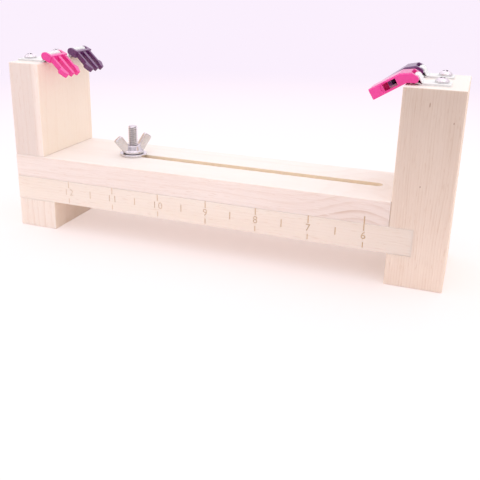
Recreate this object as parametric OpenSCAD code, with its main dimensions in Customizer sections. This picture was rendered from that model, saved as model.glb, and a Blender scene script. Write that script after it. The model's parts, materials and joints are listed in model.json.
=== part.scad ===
// Adjustable jig for knotting bracelets: a pine frame with one fixed post and one post on a sliding board.
// X runs along the rail towards the fixed post, Y runs from front to back and Z is up.
// The origin is on the ground, under the middle of the frame with the sliding board closed.

/* [Frame] */
// Depth of every wooden piece, from front to back
frame_depth = 47; // [44:0.5:60]
// Length from the free end to the inner face of the fixed post
span = 194; // [180:1:260]
// Height of the feet, from the ground to the underside of the rail
foot_h = 15; // [10:0.5:25]
// Width of the foot under the free end
foot_w = 21.5; // [15:0.5:40]
// Thickness of the rail
rail_t = 12.5; // [11:0.5:18]
// Width of the fixed post along the rail
post_w = 25.5; // [22:0.5:40]
// Height of the fixed post
post_h = 89; // [75:0.5:120]
// Depth of the housing in the fixed post that takes the end of the rail
housing_depth = 10.5; // [6:0.5:14]
// Radius of the eased edges of the posts
post_ease = 0.5; // [0.3:0.1:2]
// Radius of the eased long edges of the rail and the board, and of the edges of the foot
board_ease = 0.4; // [0.2:0.1:1]

/* [Sliding board] */
// Thickness of the sliding board
board_t = 11.5; // [9:0.5:16]
// Gap between the closed board and the fixed post
board_gap = 0.1; // [0.1:0.1:2]
// Travel of the sliding board
slide_travel = 128; // [80:1:140]
// Wood left between the end of the slot and the end of the board
slot_margin = 7; // [5:0.5:15]
// Width of the moving post along the rail
upright_w = 17; // [15:0.5:30]
// Height of the moving post above the board
upright_h = 47.5; // [35:0.5:75]

/* [Rule] */
// Distance from one numbered mark to the next
mark_pitch = 25.4; // [20:0.1:26]
// Number of numbered marks
mark_count = 7; // [3:1:7]
// Distance of the first numbered mark from the fixed post
first_mark = 10.8; // [6:0.1:20]
// Width of an engraved line
mark_w = 0.5; // [0.3:0.1:1]
// Depth of an engraved line
mark_depth = 0.3; // [0.1:0.1:0.6]
// Length of the line above a number, from the top of the rail
upper_mark = 3.4; // [2:0.1:4]
// Length of the line below a number
lower_mark = 2.6; // [1:0.1:3]
// Wood left under the line below a number
mark_edge = 1; // [0.5:0.1:2]
// Length of the line at a half
half_mark = 3.7; // [2:0.1:5]
// Distance from the top of the rail to the middle of the line at a half
half_mark_drop = 5.5; // [4:0.1:7]
// Length of the line on the board that points at the rule
index_mark = 3.4; // [2:0.1:6]

/* [Clamp] */
// Diameter of the clamp bolt
bolt_d = 4.8; // [4:0.1:6]
// Length of the clamp bolt under its head
bolt_len = 38.1; // [35:0.1:50]
// Chamfer at the end of the bolt
bolt_chamfer = 0.6; // [0.3:0.1:1]
// Diameter of the bolt's domed head
bolt_head_d = 11.5; // [9:0.5:14]
// Height of the bolt's domed head
bolt_head_h = 2.6; // [2:0.1:4]
// Depth of the recess in the rail for the bolt's head
bolt_sink = 1.5; // [0.2:0.1:2]
// Length of the square neck under the bolt's head
neck_h = 3; // [2:0.1:5]
// Clearance on each side of the bolt in the slot
slot_clear = 0.3; // [0.3:0.1:1.5]
// Diameter of the washer
washer_d = 14; // [10:0.5:20]
// Thickness of the washer
washer_t = 1.2; // [0.8:0.1:2]
// Diameter of the nut's flange
flange_d = 10.8; // [9.5:0.1:14]
// Thickness of the nut's flange
flange_t = 1.2; // [0.8:0.1:2]
// Diameter of the nut's hub on the flange
hub_d = 9; // [8:0.1:9.4]
// Diameter of the nut's hub at its top
hub_top_d = 7.6; // [7:0.1:8]
// Height of the nut without its wings
nut_h = 4.1; // [3:0.1:6]
// Distance from the bolt's axis to the middle of a wing's end
wing_reach = 9.1; // [8:0.1:13]
// Height of the middle of a wing's end above the base of the nut
wing_rise = 8.6; // [7:0.1:12]
// Width of a wing
wing_w = 4.7; // [3:0.1:7]
// Thickness of a wing at its end
wing_t = 1.8; // [1.2:0.1:3]
// Thickness of a wing at its root
wing_root_t = 2.7; // [1.2:0.1:4]
// Radius of the corners at a wing's end
wing_corner_r = 1; // [0.5:0.1:1.4]
// Angle of the wings from the rail
wing_turn = 59; // [0:1:180]

/* [Screws] */
// Diameter of the shank of every screw
screw_d = 3; // [2.5:0.1:3.5]
// Diameter of a countersunk head
csk_head_d = 6; // [5:0.1:8]
// Depth that the screws through the feet go into the rail
foot_screw_bite = 9; // [6:0.5:10]
// Depth that the screws through the board go into the moving post
upright_screw_bite = 16; // [10:0.5:18]
// Diameter of a pan head
pan_head_d = 6; // [5:0.1:8]
// Height of a pan head
pan_head_h = 2.3; // [1.5:0.1:4]
// Length of the screws in the tops of the posts
top_screw_len = 16; // [10:1:30]
// Distance of the top screws from the outer face of the moving post
moving_screw_inset = 4.5; // [4.5:0.1:7]
// Distance of the top screws from the outer face of the fixed post
fixed_screw_inset = 11; // [6:0.1:12]

/* [Buckles] */
// Distance from the front or the back of the frame to the middle of a buckle
buckle_inset = 12; // [9:0.5:14]
// Width of a sleeve half
buckle_w = 15; // [14:0.5:16.5]
// Thickness of the sleeve
sleeve_t = 5; // [4.4:0.1:6]
// Straight length of the sleeve, from the edge of the post to the mouth
sleeve_len = 14.4; // [13.5:0.1:18]
// Angle at which the sleeve droops below the level
sleeve_droop = 32; // [20:1:40]
// Angle by which the back sleeve half is tipped further, about the edge of the post
back_tip = 5; // [0:1:12]
// Thickness of the sleeve's upper and lower plates
plate_t = 1; // [0.8:0.1:1.3]
// Thickness of the sleeve's side walls
side_wall = 1.2; // [0.8:0.1:1.6]
// Radius of the sleeve's long edges
sleeve_edge = 1; // [0.5:0.1:1.5]
// Length of the closed collar at the mouth
collar_len = 6; // [4:0.1:6.5]
// Length of the windows at the sides of the sleeve
window_len = 5.9; // [5:0.1:7]
// Radius of the finger scoop at the mouth's end of a window
scoop_r = 2.1; // [1.5:0.1:2.2]
// Distance that the finger scoop runs on past the window
scoop_run = 1.3; // [0.3:0.1:1.4]
// Depth of the finger scoop
scoop_depth = 0.6; // [0.2:0.1:0.9]
// Diameter of the strap bar
bar_d = 2.2; // [1.6:0.1:2.6]
// Clear gap in front of the strap bar
strap_gap = 1.1; // [1:0.1:2]
// Height of the sleeve half's strap end above the arms that hold its bar
arm_drop = 1.2; // [0.5:0.1:1.5]
// Slope of those arms, from the strap end down to the bar
arm_slope = 30; // [25:1:40]
// Gap between the post and the tape round the sleeve half's bar
sleeve_bar_lift = 0.6; // [0.2:0.1:2]
// Distance of the sleeve half's bar behind the inner edge of the post
sleeve_bar_back = 4.1; // [4:0.1:6]
// Thickness of the prong half's shoulders
shoulder_t = 3.8; // [3.4:0.1:5]
// Thickness of the web that carries the prongs
web_t = 1.6; // [1:0.1:2.5]
// Length of the prongs
prong_len = 11.2; // [10:0.1:11.4]
// Width of a prong's neck
prong_neck_w = 1.5; // [1:0.1:2]
// Radius of a prong's tip
prong_tip_r = 1.1; // [0.7:0.1:1.3]
// Width of the middle guide
guide_w = 2; // [1.4:0.1:3]
// Clearance round the prongs in the sleeve
prong_clear = 0.25; // [0.15:0.05:0.5]
// Angle between the shoulders and the prongs
prong_bend = 21; // [0:1:25]
// Angle at which the shoulders droop below the level
prong_tilt = 24; // [15:1:35]
// Gap between the moving post and the tape round the prong half's bar
prong_bar_lift = 1.5; // [1:0.1:2.5]
// Distance of the prong half's bar beyond the inner edge of the moving post
prong_bar_out = 1; // [0.5:0.1:3]

/* [Tapes] */
// Width of a tape
tape_w = 10; // [8:0.5:10.5]
// Thickness of one layer of tape
tape_t = 0.5; // [0.3:0.1:0.5]
// Length of flat tape on each side of a screw
tape_pad = 4; // [3.5:0.1:4.4]

/* [Hidden] */
$fn = 48;

// Clearances and allowances
fit_clear = 0.05;      // round a screw or a bolt in its own hole
run_clear = 0.1;       // under the washer and under the nut
rest_clear = 0.4;      // between a buckle half and the post that it rests on
tape_clear = 0.25;     // between a tape and the buckle half that it holds
head_sink = 0.3;       // of a countersunk head below the wood
arm_wall = 0.4;        // of plastic round the end of a strap bar
shoulder_inset = 0.5;  // of the prong half's shoulders from the sides of the sleeve
over = 1;              // that a cut runs past a face, or a piece into its neighbour
hull_fn = 32;          // faces of a round in a hull
sliver = 0.05;         // thickness of a strip that only ends a hull
wing_root_r = 0.5;     // of the round edges at a wing's root

// Proportions of the screws' heads
recess_arm = 0.5;      // length of the cross recess, as a share of the head's diameter
recess_slit = 0.13;    // width of its arms, as a share of the head's diameter
recess_depth = 0.22;   // its depth, as a share of the head's diameter
pan_brim = 0.35;       // straight part of a pan head, as a share of its height

// Places along X
frame_len = span + post_w;
free_end = -frame_len / 2;
post_face = free_end + span;
upright_face = free_end + upright_w;
board_end = post_face - board_gap;
slot_w = bolt_d + 2 * slot_clear;
bolt_x = board_end - slot_margin - slot_w / 2 - slide_travel;
first_mark_x = post_face - first_mark;

// Places along Y and Z
front_face = -frame_depth / 2;
rail_top = foot_h + rail_t;
board_top = rail_top + board_t;
upright_top = board_top + upright_h;
pair_y = [front_face + buckle_inset, -front_face - buckle_inset];
screw_pair_y = [-frame_depth / 4, frame_depth / 4];

// Screws
foot_screw_len = foot_h - head_sink + foot_screw_bite;
upright_screw_len = board_t - head_sink + upright_screw_bite;
csk_cone_h = (csk_head_d - screw_d) / 2;

// Tapes
loop_in_r = bar_d / 2 + tape_clear;
loop_out_r = loop_in_r + tape_t;
pad_t = 2 * tape_t;

// Buckle sizes that both halves share
slot_y = tape_w + 2 * tape_clear;
bar_slot_end = bar_d / 2 + strap_gap;
sleeve_arm_r = bar_d / 2 + arm_wall;
shoulder_w = buckle_w - 2 * shoulder_inset;
cavity_w = buckle_w - 2 * side_wall;
cavity_t = sleeve_t - 2 * plate_t;
cavity_len = prong_len + rest_clear;
prong_t = cavity_t - 2 * prong_clear;
neck_out = cavity_w / 2 - prong_clear;
neck_in = neck_out - prong_neck_w;
neck_len = collar_len + prong_clear;
shoulder_len = bar_slot_end + web_t;

// Sleeve half, with its bar at the origin and its mouth towards +X
sleeve_bar_rise = loop_out_r + sleeve_bar_lift;
sleeve_along = [cos(sleeve_droop), -sin(sleeve_droop)];
sleeve_normal = [sin(sleeve_droop), cos(sleeve_droop)];
post_corner = [sleeve_bar_back - post_ease, -sleeve_bar_rise - post_ease];
sleeve_foot = post_corner + (post_ease + rest_clear) * sleeve_normal;
sleeve_crown = sleeve_foot + sleeve_t * sleeve_normal;
strap_top = sleeve_arm_r + arm_drop;
arm_normal = [-sin(arm_slope), cos(arm_slope)];

// Places of the tapes and the bars
moving_screw_x = free_end + moving_screw_inset;
fixed_screw_x = post_face + post_w - fixed_screw_inset;
prong_bar_rise = loop_out_r + prong_bar_lift;
prong_bar_x = upright_face + prong_bar_out;

// Place in X and Z of the bar of a sleeve half that is tipped about the eased edge of the post
function sleeve_bar_at(tip) =
    [post_face + post_ease, post_h - post_ease]
    + post_corner.x * [cos(tip), sin(tip)]
    - post_corner.y * [-sin(tip), cos(tip)];

pine = "#f2dcc2";
zinc = "#c8ccd2";
pink = "#f5308c";
violet = "#40205c";
white_tape = "#f7f5f2";

// Rectangle with round corners, from the origin
module round_rect(size, r) {
    translate([r, 0]) square([size.x - 2 * r, size.y]);
    translate([0, r]) square([size.x, size.y - 2 * r]);
    for (x = [r, size.x - r], y = [r, size.y - r]) {
        translate([x, y]) circle(r);
    }
}

// Block with all its edges eased, from the origin
module eased_block(size, r) {
    intersection() {
        linear_extrude(size.z) round_rect([size.x, size.y], r);
        translate([0, size.y, 0]) rotate([90, 0, 0]) linear_extrude(size.y) round_rect([size.x, size.z], r);
        rotate([90, 0, 90]) linear_extrude(size.x) round_rect([size.y, size.z], r);
    }
}

// Upright block across the whole depth of the frame, with its lower front corner at x and z
module frame_block(x, z, w, h, r) {
    translate([x, front_face, z]) eased_block([w, frame_depth, h], r);
}

// Board along X across the whole depth of the frame: its long edges are eased and its ends are sawn square
module frame_board(x, z, len, h) {
    translate([x, front_face, z]) rotate([90, 0, 90]) linear_extrude(len) {
        round_rect([frame_depth, h], board_ease);
    }
}

// Flat outline in X and Z, given a thickness across Y about the middle
module across(w) {
    translate([0, w / 2, 0]) rotate([90, 0, 0]) linear_extrude(w) children();
}

// Engraved line in a front face, from its lower end
module engraved_line(x, z, len) {
    translate([x - mark_w / 2, front_face - over, z]) cube([mark_w, over + mark_depth, len]);
}

// Cross-shaped recess, downwards from the origin
module cross_recess(d) {
    arm = d * recess_arm;
    slit = d * recess_slit;
    depth = d * recess_depth;
    for (a = [0, 90]) {
        rotate(a) translate([-arm / 2, -slit / 2, -depth]) cube([arm, slit, depth + over]);
    }
}

// Countersunk screw that points up, with the face of its head at the origin
module csk_screw(len) {
    difference() {
        rotate_extrude() polygon([
            [0, 0], [csk_head_d / 2, 0], [csk_head_d / 2, head_sink], [screw_d / 2, head_sink + csk_cone_h],
            [screw_d / 2, len - screw_d], [0, len]
        ]);
        mirror([0, 0, 1]) cross_recess(csk_head_d);
    }
}

// Hole for a countersunk screw, sunk into a lower face at the origin
module csk_hole(len) {
    r = screw_d / 2 + fit_clear;
    head_r = csk_head_d / 2 + fit_clear;
    translate([0, 0, -over]) cylinder(r = head_r, h = over + 2 * head_sink + fit_clear);
    translate([0, 0, 2 * head_sink + fit_clear]) cylinder(r1 = head_r, r2 = r, h = csk_cone_h);
    cylinder(r = r, h = head_sink + len + fit_clear);
}

// Pan-head screw that points down, with the underside of its head at the origin
module pan_screw(len) {
    brim = pan_head_h * pan_brim;
    difference() {
        union() {
            cylinder(d = pan_head_d, h = brim);
            translate([0, 0, brim]) intersection() {
                cylinder(d = pan_head_d, h = pan_head_h - brim);
                dome(pan_head_d, pan_head_h - brim);
            }
            translate([0, 0, -len + screw_d]) cylinder(d = screw_d, h = len - screw_d + over / 2);
            translate([0, 0, -len]) cylinder(r1 = 0, r2 = screw_d / 2, h = screw_d);
        }
        translate([0, 0, pan_head_h]) cross_recess(pan_head_d);
    }
}

// Cap of a ball, of a given diameter and height
module dome(d, h) {
    ball_r = (d * d / 4 + h * h) / (2 * h);
    translate([0, 0, h - ball_r]) intersection() {
        sphere(ball_r);
        translate([0, 0, ball_r - h]) cylinder(r = d, h = h + over);
    }
}

// Places of the screws in the wood
module foot_screw_places() {
    for (y = screw_pair_y) {
        translate([free_end + foot_w / 2, y, 0]) children();
    }
}

module post_screw_places() {
    for (y = screw_pair_y) {
        translate([post_face + housing_depth / 2, y, 0]) children();
    }
}

module upright_screw_places() {
    for (y = screw_pair_y) {
        translate([free_end + upright_w / 2, y, rail_top]) children();
    }
}

module top_screw_places(x, z) {
    for (y = pair_y) {
        translate([x, y, z]) children();
    }
}

module base_rail() {
    lower_z = foot_h + mark_edge;
    half_z = rail_top - half_mark_drop - half_mark / 2;
    color(pine) difference() {
        frame_board(free_end, foot_h, span + housing_depth, rail_t);
        for (i = [0 : mark_count - 1]) {
            engraved_line(first_mark_x - i * mark_pitch, rail_top - upper_mark, upper_mark + over);
            engraved_line(first_mark_x - i * mark_pitch, lower_z, lower_mark);
        }
        for (i = [0 : mark_count - 2]) {
            engraved_line(first_mark_x - (i + 0.5) * mark_pitch, half_z, half_mark);
        }
        translate([bolt_x, 0, foot_h - over]) cylinder(d = bolt_d + 2 * fit_clear, h = rail_t + 2 * over);
        translate([bolt_x, 0, foot_h - over]) cylinder(d = bolt_head_d + 2 * fit_clear, h = over + bolt_sink);
        translate([bolt_x, 0, foot_h + bolt_sink + neck_h / 2]) {
            cube([bolt_d + 2 * fit_clear, bolt_d + 2 * fit_clear, neck_h + 2 * fit_clear], center = true);
        }
        foot_screw_places() csk_hole(foot_screw_len);
        post_screw_places() csk_hole(foot_screw_len);
    }
}

module fixed_post() {
    color(pine) difference() {
        frame_block(post_face, 0, post_w, post_h, post_ease);
        translate([post_face - over, front_face - over, foot_h]) {
            cube([housing_depth + over, frame_depth + 2 * over, rail_t]);
        }
        post_screw_places() csk_hole(foot_screw_len);
        top_screw_places(fixed_screw_x, post_h - top_screw_len) {
            cylinder(r = screw_d / 2 + fit_clear, h = top_screw_len + over);
        }
    }
}

module end_foot() {
    color(pine) difference() {
        frame_block(free_end, 0, foot_w, foot_h, board_ease);
        foot_screw_places() csk_hole(foot_screw_len);
    }
}

module slide_board() {
    color(pine) difference() {
        frame_board(free_end, rail_top, board_end - free_end, board_t);
        for (x = [bolt_x, bolt_x + slide_travel]) {
            translate([x, 0, rail_top - over]) cylinder(d = slot_w, h = board_t + 2 * over);
        }
        translate([bolt_x, -slot_w / 2, rail_top - over]) cube([slide_travel, slot_w, board_t + 2 * over]);
        engraved_line(first_mark_x, rail_top - over, index_mark + over);
        upright_screw_places() csk_hole(upright_screw_len);
    }
}

module moving_post() {
    color(pine) difference() {
        frame_block(free_end, board_top, upright_w, upright_h, post_ease);
        upright_screw_places() csk_hole(upright_screw_len);
        top_screw_places(moving_screw_x, upright_top - top_screw_len) {
            cylinder(r = screw_d / 2 + fit_clear, h = top_screw_len + over);
        }
    }
}

// Carriage bolt: domed head under the rail, square neck in it and a chamfered end
module clamp_bolt() {
    color(zinc) translate([bolt_x, 0, foot_h + bolt_sink]) {
        mirror([0, 0, 1]) dome(bolt_head_d, bolt_head_h);
        translate([0, 0, neck_h / 2]) cube([bolt_d, bolt_d, neck_h], center = true);
        cylinder(d = bolt_d, h = bolt_len - bolt_chamfer);
        translate([0, 0, bolt_len - bolt_chamfer]) {
            cylinder(d1 = bolt_d, d2 = bolt_d - 2 * bolt_chamfer, h = bolt_chamfer);
        }
    }
}

module clamp_washer() {
    color(zinc) translate([bolt_x, 0, board_top + run_clear]) difference() {
        cylinder(d = washer_d, h = washer_t);
        translate([0, 0, -over]) cylinder(d = bolt_d + 2 * fit_clear, h = washer_t + 2 * over);
    }
}

// One wing: a tapered blade that leans out from the hub, with round corners at its end
module nut_wing() {
    roots = [[hub_top_d / 2, nut_h - wing_root_r], [flange_d / 2, flange_t / 2]];
    middle = (roots[0] + roots[1]) / 2;
    lean = atan2(wing_rise - middle.y, wing_reach - middle.x);
    side = wing_w / 2 - wing_corner_r;
    hull() {
        for (p = roots) {
            translate([p.x - wing_root_r, 0, p.y]) rotate([90, 0, 0]) {
                cylinder(r = wing_root_r, h = wing_root_t, center = true, $fn = hull_fn);
            }
        }
        translate([wing_reach, 0, wing_rise]) rotate([0, -lean, 0]) for (s = [-side, side]) {
            translate([-wing_corner_r, 0, s]) rotate([90, 0, 0]) {
                cylinder(r = wing_corner_r, h = wing_t, center = true, $fn = hull_fn);
            }
        }
    }
}

module wing_nut() {
    nut_z = board_top + washer_t + 2 * run_clear;
    color(zinc) translate([bolt_x, 0, nut_z]) rotate(wing_turn) difference() {
        union() {
            rotate_extrude() polygon([
                [0, 0], [flange_d / 2, 0], [flange_d / 2, flange_t], [hub_d / 2, flange_t],
                [hub_top_d / 2, nut_h], [0, nut_h]
            ]);
            for (a = [0, 180]) {
                rotate(a) nut_wing();
            }
        }
        translate([0, 0, -over]) cylinder(d = bolt_d + 2 * fit_clear, h = wing_rise + wing_w);
    }
}

module foot_screws() {
    color(zinc) foot_screw_places() translate([0, 0, head_sink]) csk_screw(foot_screw_len);
}

module post_screws() {
    color(zinc) post_screw_places() translate([0, 0, head_sink]) csk_screw(foot_screw_len);
}

module upright_screws() {
    color(zinc) upright_screw_places() translate([0, 0, head_sink]) csk_screw(upright_screw_len);
}

module fixed_top_screws() {
    color(zinc) top_screw_places(fixed_screw_x, post_h + pad_t) pan_screw(top_screw_len);
}

module moving_top_screws() {
    color(zinc) top_screw_places(moving_screw_x, upright_top + pad_t) pan_screw(top_screw_len);
}

// Room for the tape round a strap bar, from the bar's far side to the wall in front of it
module strap_slot() {
    translate([-buckle_w, -slot_y / 2, -buckle_w]) cube([buckle_w + bar_slot_end, slot_y, 2 * buckle_w]);
}

module strap_bar(w) {
    rotate([90, 0, 0]) cylinder(d = bar_d, h = w, center = true);
}

// Long bar as wide as a sleeve half, with its top in the plane of X and Y and its upper edges round
module round_topped_bar() {
    reach = 2 * buckle_w;
    translate([-reach, -buckle_w / 2, -reach]) rotate([90, 0, 90]) {
        linear_extrude(2 * reach) round_rect([buckle_w, reach], sleeve_edge);
    }
}

// Outside of the sleeve half: arms that rise from the bar, a flat strap end and the drooping sleeve
module sleeve_blank() {
    mouth = sleeve_foot + sleeve_len * sleeve_along;
    arm_top = [(strap_top * arm_normal.y - sleeve_arm_r) / -arm_normal.x, strap_top];
    top_slope = atan2(arm_top.y - sleeve_crown.y, sleeve_crown.x - arm_top.x);
    flat_end = sleeve_foot.x - (-sleeve_arm_r - sleeve_foot.y) / tan(sleeve_droop);
    intersection() {
        across(buckle_w + 2 * over) {
            circle(sleeve_arm_r);
            polygon([
                [0, -sleeve_arm_r], [flat_end, -sleeve_arm_r],
                mouth, mouth + (sleeve_t + over) * sleeve_normal,
                sleeve_crown + [0, over], arm_top, sleeve_arm_r * arm_normal
            ]);
        }
        sleeve_frame() translate([0, 0, sleeve_t]) round_topped_bar();
        translate([sleeve_crown.x, 0, sleeve_crown.y]) rotate([0, top_slope, 0]) round_topped_bar();
    }
}

// Female half: bar at the origin, an arched strap end, and a drooping sleeve with a collar and side windows
module sleeve_half() {
    window_end = sleeve_len - collar_len;
    difference() {
        sleeve_blank();
        strap_slot();
        sleeve_frame() translate([sleeve_len - cavity_len, -cavity_w / 2, plate_t]) {
            cube([cavity_len + over, cavity_w, cavity_t]);
        }
        sleeve_frame() translate([window_end - window_len, -buckle_w, plate_t]) {
            cube([window_len, 2 * buckle_w, cavity_t]);
        }
        for (y = [-buckle_w / 2, buckle_w / 2]) {
            sleeve_frame() translate([window_end + scoop_run - scoop_r, y, sleeve_t / 2]) rotate([90, 0, 0]) {
                cylinder(r = scoop_r, h = 2 * scoop_depth, center = true);
            }
        }
    }
    strap_bar(buckle_w - side_wall);
}

// Frame of the sleeve: X along it towards the mouth, Z through its thickness
module sleeve_frame() {
    translate([sleeve_foot.x, 0, sleeve_foot.y]) rotate([0, sleeve_droop, 0]) children();
}

// Outline of one side prong, in a plane with X towards its tip: a springy neck and a leaf-shaped end
module prong_outline() {
    swell_r = (buckle_w / 2 - fit_clear - neck_in) / 2;
    swell_x = neck_len + swell_r;
    translate([-web_t / 2, neck_in]) square([swell_x + web_t / 2, prong_neck_w]);
    hull() {
        translate([swell_x, neck_in + swell_r]) circle(swell_r, $fn = hull_fn);
        translate([prong_len - prong_tip_r, neck_out - prong_tip_r]) circle(prong_tip_r, $fn = hull_fn);
    }
}

// Male half: bar at the origin, shoulders round the strap slot, two springy prongs and a guide between them
module prong_half() {
    difference() {
        across(shoulder_w) {
            circle(shoulder_t / 2);
            translate([0, -shoulder_t / 2]) square([shoulder_len, shoulder_t]);
        }
        strap_slot();
    }
    strap_bar(shoulder_w - side_wall);
    translate([shoulder_len, 0, 0]) rotate([0, prong_bend, 0]) {
        translate([0, 0, -prong_t / 2]) linear_extrude(prong_t) {
            prong_outline();
            mirror([0, 1]) prong_outline();
            translate([-web_t / 2, -guide_w / 2]) square([prong_len - guide_w / 2 + web_t / 2, guide_w]);
            translate([prong_len - guide_w / 2, 0]) circle(guide_w / 2);
        }
    }
}

module place_sleeve_half(y, tip) {
    bar = sleeve_bar_at(tip);
    translate([bar.x, y, bar.y]) rotate([0, -tip, 0]) mirror([1, 0, 0]) sleeve_half();
}

module place_prong_half(y) {
    translate([prong_bar_x, y, upright_top + prong_bar_rise]) rotate([0, prong_tilt, 0]) prong_half();
}

// Tape doubled round a bar, with its screw at the origin and the bar at dx and dz
module tape_tab(dx, dz) {
    difference() {
        across(tape_w) difference() {
            union() {
                translate([-tape_pad, 0]) square([2 * tape_pad, pad_t]);
                hull() {
                    translate([dx, dz]) circle(loop_out_r, $fn = hull_fn);
                    translate([tape_pad - sliver, 0]) square([sliver, pad_t]);
                }
            }
            hull() {
                translate([dx, dz]) circle(loop_in_r, $fn = hull_fn);
                translate([tape_pad, tape_t - sliver / 2]) square(sliver);
            }
        }
        translate([0, 0, -over]) cylinder(r = screw_d / 2 + fit_clear, h = pad_t + 2 * over);
    }
}

module place_sleeve_tab(y, tip) {
    bar = sleeve_bar_at(tip);
    translate([fixed_screw_x, y, post_h]) mirror([1, 0, 0]) tape_tab(fixed_screw_x - bar.x, bar.y - post_h);
}

module place_prong_tab(y) {
    translate([moving_screw_x, y, upright_top]) tape_tab(prong_bar_x - moving_screw_x, prong_bar_rise);
}

module front_sleeve_half() {
    color(pink) place_sleeve_half(pair_y[0], 0);
}

module back_sleeve_half() {
    color(violet) place_sleeve_half(pair_y[1], back_tip);
}

module front_prong_half() {
    color(pink) place_prong_half(pair_y[0]);
}

module back_prong_half() {
    color(violet) place_prong_half(pair_y[1]);
}

module front_sleeve_tab() {
    color(white_tape) place_sleeve_tab(pair_y[0], 0);
}

module back_sleeve_tab() {
    color(white_tape) place_sleeve_tab(pair_y[1], back_tip);
}

module front_prong_tab() {
    color(white_tape) place_prong_tab(pair_y[0]);
}

module back_prong_tab() {
    color(white_tape) place_prong_tab(pair_y[1]);
}

base_rail();
fixed_post();
end_foot();
slide_board();
moving_post();
clamp_bolt();
clamp_washer();
wing_nut();
foot_screws();
post_screws();
upright_screws();
fixed_top_screws();
moving_top_screws();
front_sleeve_half();
back_sleeve_half();
front_prong_half();
back_prong_half();
front_sleeve_tab();
back_sleeve_tab();
front_prong_tab();
back_prong_tab();
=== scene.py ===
"""Looks for the bracelet jig: pine with a burnt-in rule, bright fittings, moulded buckle halves and woven tape."""

import json
import math
from collections import namedtuple

import bpy
import numpy as np
from bpy.props import FloatProperty, FloatVectorProperty, IntProperty, PointerProperty
from mathutils import Matrix, Vector


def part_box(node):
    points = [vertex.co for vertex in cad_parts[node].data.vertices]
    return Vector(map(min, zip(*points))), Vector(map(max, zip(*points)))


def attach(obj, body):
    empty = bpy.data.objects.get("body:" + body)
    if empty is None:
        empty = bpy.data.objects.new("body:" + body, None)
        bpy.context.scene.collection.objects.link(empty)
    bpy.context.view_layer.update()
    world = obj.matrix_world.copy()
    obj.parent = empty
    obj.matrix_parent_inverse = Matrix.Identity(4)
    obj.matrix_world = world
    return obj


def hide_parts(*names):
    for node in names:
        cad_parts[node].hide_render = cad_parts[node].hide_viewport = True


bl_info = {
    "name": "Bracelet Jig",
    "version": (1, 0, 0),
    "blender": (4, 5, 0),
    "location": "3D View > Sidebar > Bracelet Jig",
    "description": "Dresses the packed bracelet jig in pine, bright metal, plastic and tape, and sets its stage",
    "category": "Object",
}

MM = 0.001
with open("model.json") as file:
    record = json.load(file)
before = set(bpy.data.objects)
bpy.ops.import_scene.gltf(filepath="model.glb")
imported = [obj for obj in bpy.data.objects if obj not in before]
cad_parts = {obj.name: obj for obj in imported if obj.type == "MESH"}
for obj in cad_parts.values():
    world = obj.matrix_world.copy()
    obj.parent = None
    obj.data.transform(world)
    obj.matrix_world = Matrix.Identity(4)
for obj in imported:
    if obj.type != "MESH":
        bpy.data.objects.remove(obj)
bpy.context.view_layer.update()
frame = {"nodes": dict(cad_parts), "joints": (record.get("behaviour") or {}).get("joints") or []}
joint_places = {j["name"]: Vector(j["pos_m"]) for j in frame["joints"] if "pos_m" in j}

ROUND_STEPS = 56        # points round a turned piece
WELD = 0.001 * MM       # distance within which points are joined
FACES = (0.5, 0.9)      # how squarely a face looks along an axis where it starts to count, and where it counts fully
SLOT_WALL = (3.2, 3.6)  # distance from the middle of the jig, in millimetres, up to which a face belongs to the slot
END_SHARE, TOP_LIGHT_SHARE, SIDE_SHARE, SLOT_SHARE = 0.75, 0.62, 0.5, 0.8  # of the tint of such a face in its colour: pale end grain, painted light on tops, painted warm bounce light on sides and slot walls
SIDE_TONE = 0.97        # of the warm colour of the painted bounce light on a side
GROOVE = (0.75, 1.1)    # shares of the thread's depth between which a face lies in the groove and gets painted shade
SUN_WAY, SUN_ANGLE = (-0.20, 0.12, -0.97), 55      # direction of the light, and its width in degrees
FLOOR_REACH = 14.0                                 # half the width of the floor, in metres
FLOOR_MIDDLE, FLOOR_FADE = (50, -50, 0), 700       # from where, and over what distance, the floor fades, in millimetres
CAMERA_TURN = (-19.34, -18.82, 1.37)               # yaw, pitch and roll, in degrees
CAMERA_PLACE, CAMERA_SHIFT = (0.1131, -0.30328, 0.13203), -0.0854

# One piece of pine. The grain runs along an axis, pith is the middle of the growth rings across it, ring their mean
# pitch and uneven how far they stray from it. The faces at the front and the back get painted shade, as where the light
# falls off, by the share in fade, between its two places along its axis. Where the grain swells, swell gives the place,
# the reach and the rise. A speck on the front face is (x, z, half width, half length), and dashes is how dark short
# streaks are. All lengths are in millimetres.
Board = namedtuple("Board", "node grain pith ring uneven tone contrast fade swell specks dashes",
                   defaults=(None, (), 0.34))
BOARDS = [
    Board("base_rail", "X", (-9.0, -31.0), 1.5, 0.6, (0.985, 0.985, 0.97), 0.14, ("X", 10, 100, 0.17)),
    Board("slide_board", "X", (-12.0, -62.0), 3.4, 0.9, (0.985, 0.98, 1.01), 0.75, ("X", 10, 84, 0.13),
          (72.0, 20.0, 7.8)),
    Board("fixed_post", "Z", (60.0, -27.0), 1.2, 1.2, (0.92, 0.88, 0.84), 0.5, ("Z", 8, 84, 0.31), None,
          ((95.7, 82.3, 0.35, 1.3), (105.9, 75.5, 0.3, 0.6), (95.5, 47.3, 0.3, 0.55)), 0.42),
    Board("moving_post", "Z", (-60.0, -45.0), 2.4, 0.9, (1.035, 1.02, 1.04), 0.25, ("X", -94, -97.5, 0.18)),
    Board("end_foot", "Z", (-130.0, 5.0), 2.9, 0.9, (1.0, 0.995, 0.99), 0.45, ("Z", 0, 15, 0.0)),
]


# Settings that a user would change

def colour(name, description, default):
    """A colour setting, in linear light."""
    return FloatVectorProperty(name=name, description=description, default=default, size=3,
                               subtype="COLOR", min=0, max=1)


def length(name, description, default):
    """A length setting, in metres."""
    return FloatProperty(name=name, description=description, default=default, min=0, subtype="DISTANCE",
                         unit="LENGTH", precision=5)


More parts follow.
